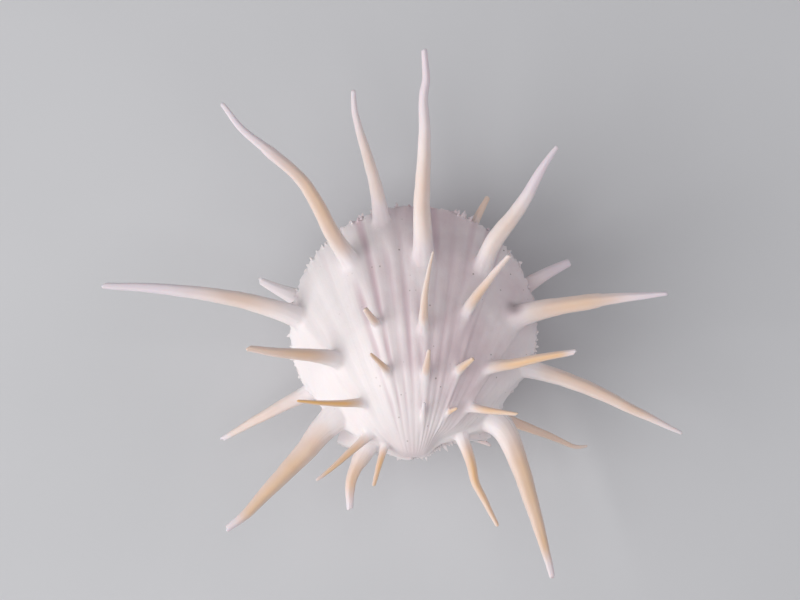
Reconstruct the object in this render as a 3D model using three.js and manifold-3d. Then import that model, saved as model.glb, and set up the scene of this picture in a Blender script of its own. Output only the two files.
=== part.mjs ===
// A thorny oyster shell: two ribbed valves, closed on each other, with the long spines of their ribs.
// Millimetres, +Z up. The shell lies on the flat scar of its lower valve. The scar's middle is the origin.
// The beak, where both valves began to grow, points to -Y. The round front margin faces +Y.

import * as THREE from "three";
import { mergeVertices } from "three/addons/utils/BufferGeometryUtils.js";
import Module from "manifold-3d";

const wasm = await Module();
wasm.setup();

const { clamp, degToRad, lerp, radToDeg, smoothstep } = THREE.MathUtils;

// Driving dimensions, as seen from above: the beak, the round disc and the ears beside the hinge.
const BEAK = { x: 0, y: -33.6 };
const DISC = { x: 0.45, y: 4.6, radius: 36.9 };
const BEAK_BACK = 0.9;
const EAR_BLEND = 3.5;

// Each ear: its reach, the bearings between which it stands out, the notch in the disc above it, and how
// far the hinge edge climbs beside the beak, with the distances aside between which it does.
const LEFT_EAR = {
  reach: 22.9,
  bearings: { begins: 58, full: 67, fades: 79, ends: 88 },
  notch: { bearing: 60.5, breadth: 4, depth: 1.8 },
  lift: 1.5,
  climb: { begins: 1.5, full: 8, fades: 12, ends: 17 },
};
const RIGHT_EAR = {
  reach: 24.4,
  bearings: { begins: 60, full: 70, fades: 75, ends: 88 },
  notch: { bearing: 58.3, breadth: 4, depth: 6 },
  lift: 2.9,
  climb: { begins: 3.5, full: 9, fades: 13, ends: 24 },
};
const HINGE_SLOPE = 0.11;
const HINGE_DEPTH = 9;

// The valves meet at the seam. A growing margin coils up about the hinge, which gives each valve its dome.
const SEAM_Z = 25;
const SEAM_GAP = 0.4;
const BEAK_RISE = 4;
const COIL_TURN = degToRad(80);
const COIL_RATE = 0.9;
const UPPER_FULLNESS = 0.92;
const LOWER_FULLNESS = 1.05;

// The hollow between the valves begins behind the hinge plate and leaves a rim round the margin.
const HOLLOW_BEAK = { x: 0, y: -25.5 };
const HOLLOW_DISC = { x: 0.45, y: 5.2, radius: 33.2 };
const HOLLOW_SHARE = 0.99;
const HOLLOW_RISE = 1.2;
const HOLLOW_COLUMNS = 28;
const HOLLOW_ROWS = 6;

// Ribs: strong ones carry spines, finer ones lie between. Bearings are degrees from the middle line.
const STRONG_RIBS = [-60, -39, -16, 2.5, 21, 37, 52, 64];
const UPPER_FINE_RIBS = 3;
const LOWER_FINE_RIBS = 2;
const STRONG_RIB_HEIGHT = 1.3;
const FINE_RIB_HEIGHT = 0.75;
const RIB_DRIFT = 9;
const RIB_DRIFT_MIDDLE = -12;
const RIB_DRIFT_SPREAD = 55;
const EAR_COLUMNS = [68, 73, 78, 82, 85, 87.5, 90, 110, 145];
const UPPER_ROWS = 13;
const LOWER_ROWS = 10;

// Spines are a little flat. Each starts under the valve's skin, nearer the beak than where it comes out.
const SPINE_FLATNESS = 0.86;
const SPINE_STEP = 6.5;
const SPINE_STEPS = { least: 4, most: 11 };
const STOUT_SPINE = 3.4;
const STOUT_SIDES = 8;
const SLIM_SIDES = 6;
const ROOT_FLARE = 0.3;
const ROOT_DEPTH = 0.7;
const ROOT_LEAD = 0.013;
const TIP_ROUNDING = 0.55;

// Spines: the rib bearing and the share of growth where each is rooted, how thick it is at root and tip,
// and the points it passes on its way to the tip. A fuller one keeps its thickness further out.
const PLAIN_FULLNESS = 1.2;
const UPPER_SPINES = [
  // Front margin, from the left ear round to the right one.
  { rib: -56.5, grown: 0.68, thick: [7.3, 1.9], full: 1.3,
    path: [[-26.9, -25.4, 33], [-31.6, -31.2, 33.6], [-44.5, -44.9, 35],
      [-50.2, -51, 35.4], [-55.8, -55.3, 35.6]] },
  { rib: -38.2, grown: 0.92, thick: [5.8, 1.8],
    path: [[-38, 9.8, 32], [-50.3, 13.3, 34.6], [-71.3, 16.5, 38], [-92.9, 17.9, 40]] },
  { rib: -17, grown: 0.86, thick: [5.1, 1.4], full: 1.4,
    path: [[-23.6, 32.8, 41], [-32.2, 48.3, 45.5], [-43.8, 58.8, 49],
      [-50.6, 64.2, 50.5], [-56.8, 72.2, 52]] },
  { rib: -7.3, grown: 0.955, thick: [4.5, 1.4],
    path: [[-10.8, 47, 30], [-13.9, 58.1, 33.5], [-17.2, 70, 36.8], [-17.6, 76.4, 38]] },
  { rib: 3.4, grown: 0.8, thick: [5.8, 1.7],
    path: [[2.9, 41.7, 44.5], [3.7, 61.5, 49.5], [3.4, 75, 52.6], [4.2, 79.2, 53.8], [3.5, 88.4, 56]] },
  { rib: 19.8, grown: 0.85, thick: [5.3, 1.2], full: 2.0,
    path: [[24.8, 31.5, 40], [31, 39.5, 43], [35.2, 46.1, 45.4], [39.6, 54, 47.8], [43.4, 59.4, 49]] },
  { rib: 35.2, grown: 0.84, thick: [6.3, 1.1], full: 1.3,
    path: [[37.2, 10.2, 36], [49.9, 12.5, 39.3], [59.6, 13.8, 41], [76.4, 15.4, 44]] },
  { rib: 50.3, grown: 0.9, thick: [4.9, 1.0], full: 1.8,
    path: [[40.5, -8.6, 28.8], [51.3, -12.3, 29.6], [66, -19.3, 30.4], [81, -26.5, 31]] },
  { rib: 63, grown: 0.85, thick: [6.8, 1.6], full: 1.3,
    path: [[27, -24.6, 30], [30.4, -31.1, 30.6], [36.8, -50.4, 32.4], [42.2, -69.9, 33.8]] },

  // Middle of the dome.
  { rib: -33, grown: 0.63, thick: [4.6, 1.8],
    path: [[-28.5, -3.2, 46], [-39.6, -2.3, 51], [-49.6, -0.8, 54.5]] },
  { rib: -31.6, grown: 0.42, thick: [2.6, 0.8], path: [[-22.9, -17.4, 48], [-34.4, -16.6, 53]] },
  { rib: -12.9, grown: 0.63, thick: [2.6, 1.6], path: [[-12.1, 8.2, 51], [-14.2, 11.1, 54.5]] },
  { rib: -11.8, grown: 0.46, thick: [2.4, 1.0], path: [[-9.6, -5.2, 54], [-12.5, -2.5, 58]] },
  { rib: 4.4, grown: 0.59, thick: [3.0, 0.6], path: [[3.5, 11, 55], [4.2, 18, 62.5], [6.2, 28, 71]] },
  { rib: 6.9, grown: 0.44, thick: [2.7, 1.1], path: [[4.5, -5.1, 55.5], [5.1, -1.3, 61]] },
  { rib: 8.9, grown: 0.28, thick: [1.7, 0.9], path: [[3.6, -17, 49.5]] },
  { rib: 18.7, grown: 0.69, thick: [3.4, 1.5], path: [[19.2, 14.8, 50], [24.2, 21.1, 57], [29.1, 27, 62]] },
  { rib: 22.4, grown: 0.5, thick: [2.9, 1.2], path: [[15.6, -6, 50], [18.4, -3.8, 54]] },
  { rib: 26.9, grown: 0.34, thick: [1.5, 0.8], path: [[13.5, -18.7, 46]] },
  { rib: 35.3, grown: 0.61, thick: [3.6, 1.6],
    path: [[29.8, -5.6, 45], [37.9, -3.9, 48.5], [49.2, -1.8, 52]] },
  { rib: 39.4, grown: 0.45, thick: [2.6, 1.0], path: [[24.5, -19.8, 44.5], [31.8, -20.5, 48]] },

  // Flanks of the beak.
  { rib: -48.6, grown: 0.34, thick: [2.8, 0.9],
    path: [[-18.8, -32.2, 38.5], [-23.4, -36.4, 40], [-28.7, -40.5, 41]] },
  { rib: -71.5, grown: 0.56, thick: [4.6, 1.9], full: 1.3,
    path: [[-16.2, -35.6, 29], [-18.2, -40.5, 28.8], [-18.6, -49.6, 28]] },
  { rib: -50, grown: 0.22, thick: [2.3, 1.1], path: [[-9.4, -34.2, 35], [-11.5, -42.3, 36.5]] },
  { rib: 65.6, grown: 0.55, thick: [3.6, 1.2],
    path: [[17.6, -35, 32.5], [18.7, -40.6, 33.5], [21.8, -46.6, 34.6], [25.7, -54.3, 36]] },
];

const LOWER_SPINES = [
  // Front margin, from the left ear round to the right one, seen past the edge of the upper valve.
  { rib: -54.3, grown: 0.86, thick: [4.6, 1.3], path: [[-40.6, -19.2, 20], [-57.7, -28.7, 15]] },
  { rib: -35, grown: 0.95, thick: [4.8, 1.6], path: [[-40.1, 16.6, 20.5], [-46.4, 19.7, 18.5]] },
  { rib: 14.6, grown: 0.96, thick: [2.7, 1.5], path: [[20.6, 40.2, 22], [23, 44.5, 21]] },
  { rib: 33, grown: 0.95, thick: [4.4, 2.4], path: [[41, 21.7, 20.5], [47.4, 24.8, 18.5]] },
  { rib: 59, grown: 0.84, thick: [3.6, 0.8],
    path: [[40.5, -27.1, 19.5], [46, -29.4, 18], [48.8, -30.6, 17.2],
      [50.5, -30.75, 16.8], [52.8, -30.4, 16.3]] },
  { rib: 76, grown: 0.8, thick: [1.8, 0.9], path: [[23.8, -30.3, 21.5]] },

  // Underside, short of the margin and clear of the surface that the shell lies on.
  { rib: -45, grown: 0.74, thick: [3.4, 1.2], path: [[-31, 1, 7], [-35, 2, 4]] },
  { rib: -22, grown: 0.78, thick: [3.6, 1.2], path: [[-19, 23, 5.5], [-23, 31, 3.2]] },
  { rib: 1, grown: 0.76, thick: [3.8, 1.2], path: [[0.8, 29, 4.4], [1.4, 38, 2.6]] },
  { rib: 23, grown: 0.78, thick: [3.6, 1.2], path: [[20, 23, 5.5], [24, 30.5, 3.2]] },
  { rib: 44, grown: 0.74, thick: [3.4, 1.2], path: [[31, 1.5, 7], [35, 3, 4]] },
  { rib: -50, grown: 0.5, thick: [2.8, 1.0], path: [[-20, -17, 6.5], [-25, -19, 3]] },
  { rib: 50, grown: 0.5, thick: [2.8, 1.0], path: [[20, -17, 6.5], [25, -19.5, 3]] },
];

// Blocks that trim the valves at the seam and at the scar are wider than the whole shell.
const BLOCK_BREADTH = 400;

const SHELL_WHITE = 0xece3e2;
const LOWER_WHITE = 0xe6dcd6;
const SHELL_ROUGHNESS = 0.5;

// Rises from 0 to 1, and falls to 0 again.
function swell(value, { begins, full, fades, ends }) {
  return smoothstep(value, begins, full) * (1 - smoothstep(value, fades, ends));
}

function smoothMax(a, b, blend) {
  const h = Math.max(blend - Math.abs(a - b), 0) / blend;
  return Math.max(a, b) + h * h * blend * 0.25;
}

// Distance from a beak to the far side of a disc, along a bearing in radians.
function discReach(beak, disc, bearing) {
  const right = disc.x - beak.x;
  const ahead = disc.y - beak.y;
  const along = right * Math.sin(bearing) + ahead * Math.cos(bearing);
  const room = disc.radius ** 2 - (right ** 2 + ahead ** 2 - along ** 2);
  return room > 0 ? along + Math.sqrt(room) : 0;
}

// Distance from the beak to the margin: the round disc, and an ear on each side of the hinge.
function marginReach(bearing) {
  const ear = bearing > 0 ? RIGHT_EAR : LEFT_EAR;
  const aside = Math.abs(radToDeg(bearing));
  const lobe = ear.reach * swell(aside, ear.bearings);
  const fromNotch = (aside - ear.notch.bearing) / ear.notch.breadth;
  const disc = discReach(BEAK, DISC, bearing) - ear.notch.depth * Math.exp(-(fromNotch ** 2));
  return Math.max(BEAK_BACK, smoothMax(disc, lobe, EAR_BLEND));
}

// Draws the hinge edge up beside the beak, and lets the skin above it follow.
function liftHinge(point) {
  const ear = point.x > 0 ? RIGHT_EAR : LEFT_EAR;
  const aside = Math.abs(point.x);
  const lift = ear.lift * swell(aside, ear.climb);
  const above = point.y - (BEAK.y + HINGE_SLOPE * aside);
  point.y += lift * (1 - smoothstep(above, 0, HINGE_DEPTH));
  return point;
}

// A point of a dome that coils up from its beak. growth is 0 at the beak and 1 at the margin.
function coilPoint(beak, reach, rise, fullness, side, bearing, growth) {
  const turn = COIL_TURN * (1 - growth ** COIL_RATE);
  const ahead = reach * Math.cos(bearing);
  const bulge = Math.max(ahead, 0) * growth * Math.sin(turn) * fullness;
  return new THREE.Vector3(
    beak.x + growth * reach * Math.sin(bearing),
    beak.y + growth * ahead * (ahead > 0 ? Math.cos(turn) : 1),
    SEAM_Z + side * (SEAM_GAP / 2 + rise * (1 - growth ** 2) + bulge),
  );
}

function valvePoint(valve, bearing, growth) {
  const reach = marginReach(bearing);
  return liftHinge(coilPoint(BEAK, reach, BEAK_RISE, valve.fullness, valve.side, bearing, growth));
}

// Every rib of a valve in order, with its height: the strong ones and the fine ones spread between them.
function ribsOf(fineBetween) {
  const ribs = [];
  STRONG_RIBS.forEach((bearing, i) => {
    ribs.push({ bearing, height: STRONG_RIB_HEIGHT });
    const next = STRONG_RIBS[i + 1];
    for (let k = 1; next !== undefined && k <= fineBetween; k += 1) {
      const share = k / (fineBetween + 1);
      ribs.push({ bearing: lerp(bearing, next, share), height: FINE_RIB_HEIGHT });
    }
  });
  return ribs;
}

// Mesh columns round the beak, from -180 degrees: one on each rib crest, in each furrow, and round the ears.
function columnsOf(ribs) {
  const columns = [{ bearing: -180, height: 0 }];
  [...EAR_COLUMNS].reverse().forEach((bearing) => columns.push({ bearing: -bearing, height: 0 }));
  ribs.forEach((rib, i) => {
    columns.push(rib);
    if (i + 1 < ribs.length) {
      columns.push({ bearing: (rib.bearing + ribs[i + 1].bearing) / 2, height: 0 });
    }
  });
  EAR_COLUMNS.forEach((bearing) => columns.push({ bearing, height: 0 }));
  columns.push({ bearing: 180, height: 0 });
  return columns;
}

// Ribs swing to one side as they near the beak, most of all those near the middle.
function ribBearing(bearing, growth) {
  const away = clamp((bearing - RIB_DRIFT_MIDDLE) / RIB_DRIFT_SPREAD, -1, 1);
  const drift = RIB_DRIFT * Math.cos(away * Math.PI / 2) ** 2;
  return degToRad(bearing + drift * (1 - growth));
}

function heartOf() {
  return new THREE.Vector3(DISC.x, DISC.y, SEAM_Z);
}

function solidOf(geometry) {
  geometry.deleteAttribute("normal");
  geometry.deleteAttribute("uv");
  const merged = mergeVertices(geometry);
  const vertProperties = Float32Array.from(merged.attributes.position.array);
  const triVerts = Uint32Array.from(merged.index.array);
  return new wasm.Manifold(new wasm.Mesh({ numProp: 3, vertProperties, triVerts }));
}

// A sphere whose upper rows are pressed into a dome and whose last row closes it at a middle point.
function pressedDome(columnCount, rowCount, pointAt, middle, side) {
  const geometry = new THREE.SphereGeometry(1, columnCount, rowCount + 1);
  const position = geometry.attributes.position;
  for (let i = 0; i < position.count; i += 1) {
    const row = Math.floor(i / (columnCount + 1));
    const step = i % (columnCount + 1);
    const column = side > 0 ? columnCount - step : step;
    const point = row > rowCount ? middle : pointAt(column, row / rowCount);
    position.setXYZ(i, point.x, point.y, point.z);
  }
  return solidOf(geometry);
}

function outerDome(valve) {
  const columns = columnsOf(ribsOf(valve.fineBetween));
  const heart = heartOf();
  const pointAt = (column, growth) => {
    const { bearing, height } = columns[column];
    const point = valvePoint(valve, ribBearing(bearing, growth), growth);
    const outward = point.clone().sub(heart).normalize();
    return point.addScaledVector(outward, height * growth);
  };
  const middle = heart.clone().setZ(SEAM_Z + valve.side * SEAM_GAP / 2);
  return pressedDome(columns.length - 1, valve.rows, pointAt, middle, valve.side);
}

function hollowDome(valve) {
  const fullness = valve.fullness * HOLLOW_SHARE;
  const pointAt = (column, growth) => {
    const bearing = degToRad(-180 + 360 * column / HOLLOW_COLUMNS);
    const reach = discReach(HOLLOW_BEAK, HOLLOW_DISC, bearing);
    return coilPoint(HOLLOW_BEAK, reach, HOLLOW_RISE, fullness, valve.side, bearing, growth);
  };
  const middle = heartOf().setZ(SEAM_Z - valve.side * SEAM_GAP);
  return pressedDome(HOLLOW_COLUMNS, HOLLOW_ROWS, pointAt, middle, valve.side);
}

// A spine: a turned, tapering rod with a flared root and a rounded tip, bent along its path.
function spineSolid(valve, spine) {
  const [rootThick, tipThick] = spine.thick;
  const fullness = spine.full ?? PLAIN_FULLNESS;
  const bearing = degToRad(spine.rib);
  const root = valvePoint(valve, bearing, spine.grown);
  const sunk = valvePoint(valve, bearing, spine.grown - rootThick * ROOT_LEAD);
  sunk.addScaledVector(heartOf().sub(sunk).normalize(), rootThick * ROOT_DEPTH);
  const stops = spine.path.map((stop) => new THREE.Vector3(...stop));
  const curve = new THREE.CatmullRomCurve3([sunk, root, ...stops], false, "centripetal");

  const length = curve.getLength();
  const wanted = Math.round(length / SPINE_STEP);
  const steps = clamp(wanted, SPINE_STEPS.least, SPINE_STEPS.most);
  const radiusAt = (share) => {
    const flare = ROOT_FLARE * rootThick * Math.exp(-share * length / rootThick);
    return (lerp(rootThick, tipThick, share ** fullness) + flare) / 2;
  };
  const profile = [new THREE.Vector2(0, 0)];
  for (let i = 0; i < steps; i += 1) {
    profile.push(new THREE.Vector2(radiusAt(i / steps), i / steps));
  }
  profile.push(new THREE.Vector2(radiusAt(1), 1 - tipThick * TIP_ROUNDING / length));
  profile.push(new THREE.Vector2(0, 1));

  const sides = rootThick > STOUT_SPINE ? STOUT_SIDES : SLIM_SIDES;
  const rod = new THREE.LatheGeometry(profile, sides);
  const position = rod.attributes.position;
  const up = new THREE.Vector3(0, 0, 1);
  for (let i = 0; i < position.count; i += 1) {
    const share = position.getY(i);
    const tangent = curve.getTangentAt(share);
    const aside = tangent.clone().cross(up).normalize();
    const lift = aside.clone().cross(tangent);
    const point = curve.getPointAt(share);
    point.addScaledVector(aside, position.getX(i));
    point.addScaledVector(lift, position.getZ(i) * SPINE_FLATNESS);
    position.setXYZ(i, point.x, point.y, point.z);
  }
  return solidOf(rod);
}

// A block that fills everything on one side of a level plane.
function blockBeyond(level, side) {
  const block = new THREE.BoxGeometry(BLOCK_BREADTH, BLOCK_BREADTH, BLOCK_BREADTH);
  block.translate(0, 0, level + side * BLOCK_BREADTH / 2);
  return solidOf(block);
}

function valveMesh(valve) {
  let solid = outerDome(valve);
  valve.spines.forEach((spine) => {
    solid = solid.add(spineSolid(valve, spine));
  });
  solid = solid.subtract(hollowDome(valve));
  solid = solid.subtract(blockBeyond(SEAM_Z + valve.side * SEAM_GAP / 2, -valve.side));
  solid = solid.subtract(blockBeyond(0, -1));

  const { vertProperties, triVerts } = solid.getMesh();
  const geometry = new THREE.BufferGeometry();
  geometry.setAttribute("position", new THREE.BufferAttribute(vertProperties, 3));
  geometry.setIndex(new THREE.BufferAttribute(triVerts, 1));
  geometry.computeVertexNormals();
  const material = new THREE.MeshStandardMaterial({
    color: valve.colour,
    roughness: SHELL_ROUGHNESS,
    metalness: 0,
  });
  const mesh = new THREE.Mesh(geometry, material);
  mesh.name = valve.name;
  return mesh;
}

const shell = new THREE.Group();
shell.name = "thorny_oyster_shell";
shell.add(
  valveMesh({
    name: "upper_valve",
    side: 1,
    fullness: UPPER_FULLNESS,
    fineBetween: UPPER_FINE_RIBS,
    rows: UPPER_ROWS,
    spines: UPPER_SPINES,
    colour: SHELL_WHITE,
  }),
  valveMesh({
    name: "lower_valve",
    side: -1,
    fullness: LOWER_FULLNESS,
    fineBetween: LOWER_FINE_RIBS,
    rows: LOWER_ROWS,
    spines: LOWER_SPINES,
    colour: LOWER_WHITE,
  }),
);

export default shell;
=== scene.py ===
import math
import random

import bmesh
import bpy
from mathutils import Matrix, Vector, noise


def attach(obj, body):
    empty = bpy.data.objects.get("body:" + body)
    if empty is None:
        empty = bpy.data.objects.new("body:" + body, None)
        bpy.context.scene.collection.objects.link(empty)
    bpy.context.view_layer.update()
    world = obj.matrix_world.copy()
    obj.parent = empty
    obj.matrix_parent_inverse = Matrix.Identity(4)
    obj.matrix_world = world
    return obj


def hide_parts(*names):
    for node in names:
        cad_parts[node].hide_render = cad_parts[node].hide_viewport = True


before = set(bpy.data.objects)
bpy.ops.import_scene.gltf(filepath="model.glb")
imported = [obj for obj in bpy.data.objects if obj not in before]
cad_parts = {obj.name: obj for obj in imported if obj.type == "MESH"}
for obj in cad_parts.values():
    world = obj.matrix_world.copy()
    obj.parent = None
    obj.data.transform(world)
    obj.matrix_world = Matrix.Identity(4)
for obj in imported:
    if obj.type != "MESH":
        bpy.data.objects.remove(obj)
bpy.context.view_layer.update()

# The shell is modelled in millimetres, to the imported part's own dimensions, and brought to metres at the end.
MM = 0.001

# As seen from above: the beak, the round disc and the ears beside the hinge. Bearings are degrees from the
# middle line, taken at the beak, and minus is to the left.
BEAK = Vector((0.0, -33.6, 0.0))
DISC = Vector((0.45, 4.6, 0.0))
DISC_RADIUS = 36.9
BEAK_BACK = 0.9
EAR_BLEND = 3.5

# Each ear: its reach, the bearings at which it begins, is full, fades and ends, and how the hinge edge climbs
# beside the beak: by how much, and how far aside the climb starts, is full, falls off and is over. Above the
# ear the disc has a notch: its bearing, half its breadth in degrees, and its depth.
LEFT_EAR = {"reach": 22.9, "bearings": (58, 67, 79, 88), "lift": 1.5, "climb": (1.5, 8, 12, 17),
            "notch": (60.5, 4, 1.8)}
RIGHT_EAR = {"reach": 24.4, "bearings": (60, 70, 75, 88), "lift": 2.9, "climb": (3.5, 9, 13, 24),
             "notch": (58.3, 4, 6)}
HINGE_SLOPE = 0.11
HINGE_DEPTH = 9

# The valves meet at the seam. A growing margin coils up about the hinge, and that gives each valve its dome.
SEAM_Z = 25.0
SEAM_GAP = 0.4
HEART = Vector((DISC.x, DISC.y, SEAM_Z))
BEAK_RISE = 4.0
COIL_TURN = math.radians(80)
COIL_RATE = 0.9

# The hollow between the valves begins behind the hinge plate.
HOLLOW_BEAK = Vector((0.0, -25.5, 0.0))
HOLLOW_DISC = Vector((0.45, 5.2, 0.0))
HOLLOW_RADIUS = 33.2
HOLLOW_SHARE = 0.99
HOLLOW_RISE = 1.2

# Ribs: strong ones carry spines, and finer ones lie between them. Faint ones cross the ears.
STRONG_RIBS = (-60, -39, -16, 2.5, 21, 37, 52, 64)
STRONG_HEIGHTS = (0.25, 0.6, 0.95, 1.05, 0.8, 0.5, 0.2, 0.1)
FINE_HEIGHTS = (0.06, 0.24, 0.52, 0.42, 0.25, 0.1, 0.05)
EAR_RIBS = (68, 72, 76, 80)
EAR_RIB_HEIGHT = 0.1

# Ribs swing aside as they near the beak, wander, rise unevenly, and sink again towards the margin. Over the
# beak they keep some of their breadth.
RIB_SWING = 9
RIB_SWING_MIDDLE = -12
RIB_SWING_SPREAD = 55
RIB_WANDER = 1.3
RIB_UNEVENNESS = 0.9
RIB_ROUNDNESS = 0.85
MARGIN_FADE = 0.75
BEAK_BREADTH = 0.16

# An ear swells a little, and a fold parts it from the disc.
EAR_SWELL = 0.9
EAR_SWELL_BEARING = 73
EAR_FOLD = 1.6
EAR_FOLD_BEARING = 66
EAR_SPREAD = 4.0

# Growth ripples run across the ribs, and the margin is ragged.
RIPPLE = 0.12
RAGGED_EDGE = 0.6

# Rows of the mesh lie closer together towards the margin, which is its last row.
ROW_CROWDING = 0.2
AT_MARGIN = 0.9999

# Small steps over the skin, to find which way it runs: in growth, and in degrees. A rib's length turns
# millimetres into growth, near enough.
GROWTH_STEP = 0.02
SIDE_STEP = 0.5
RIB_LENGTH = 95

# Spines are a little flat, with lengthwise ridges and a gutter beneath. One has an end that is slit open above.
SPINE_FLATNESS = 0.86
RIDGES = 5
RIDGE_DEPTH = 0.03
GUTTER = 0.16
GUTTER_BREADTH = 0.55
OPEN_DEPTH = 0.7
OPEN_BREADTH = 0.5
SPINE_LUMPS = 0.05
SPINE_SWAY = 0.14
SLEEVE_STEP = 0.3

# A spine's middle line is made in short steps and eased, and its surface is made of rings.
STATION_STEP = 0.4
EASING = 12
RING_STEP = 1.25
FEWEST_RINGS = 7
MOST_RINGS = 56
RING_CROWDING = 0.09

# The root of a spine, in root thicknesses: its flare, how deep and how far back the line begins, how far off
# skin is looked for, and how soon the spine is clear of the skin's shape.
ROOT_FLARE = 0.16
ROOT_DEPTH = 0.75
ROOT_LEAD = 3.0
ROOT_SEARCH = 3.2
SEAT_SEARCH = 2.8
ROOT_FILLET = 0.6

# The patch of skin under a root is a little broader than the spine, and is smoothed in a few passes. It keeps
# off the margin, unless its spine grows right beside it.
ROOT_SPREAD = 1.1
ROOT_SPREAD_ABOVE = 1.02
ROOT_SMOOTHING = 7
NEAR_MARGIN = 0.93
CLEAR_OF_MARGIN = 0.965

# The ridge behind a root, in root thicknesses. It is longer behind a spine that leaves its rib at a low angle.
SWELL_HEIGHT = 0.42
SWELL_WIDTH = 0.7
SWELL_BACK = 4.5
SWELL_BACK_STEEP = 3.2
SWELL_FRONT = 1.2

# The ridge ends at so many of its widths, and is whiter than a rib's crest, which counts as 1.
SWELL_CUTOFF = 2.2
RIDGE_CREST = 1.5

# Colour of a spine: by how many root thicknesses out it is warm, how far the warm band on its back leans to the
# # right, away from the light, in degrees, how broad the band is, in radians, how warm it is beside the band,
# where
# # the paler sides are painted highlight, and how far streaks spread round it.
WARM_BY = 3.2
BAND_LEAN_FROM_LIGHT = 14
BAND_BREADTH = 0.85
PAINTED_HIGHLIGHT_SIDE_WARMTH = 0.42
STREAK_TURN = 3.4


def spine(rib, grown, thick, *path, full=1.2, warm=0.3, end="round",
          pale_tip=0.5, pale_from=0.5, sleeve=None):
    """A spine: where it is rooted, how thick it is at root and tip, the points it passes, and its colouring.

    A fuller one keeps its thickness further out. A sleeve is where older growth ends in a step.
    """
    return {"rib": rib, "grown": grown, "thick": thick, "path": path, "full": full, "warm": warm,
            "end": end, "pale_tip": pale_tip, "pale_from": pale_from, "sleeve": sleeve}


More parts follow.
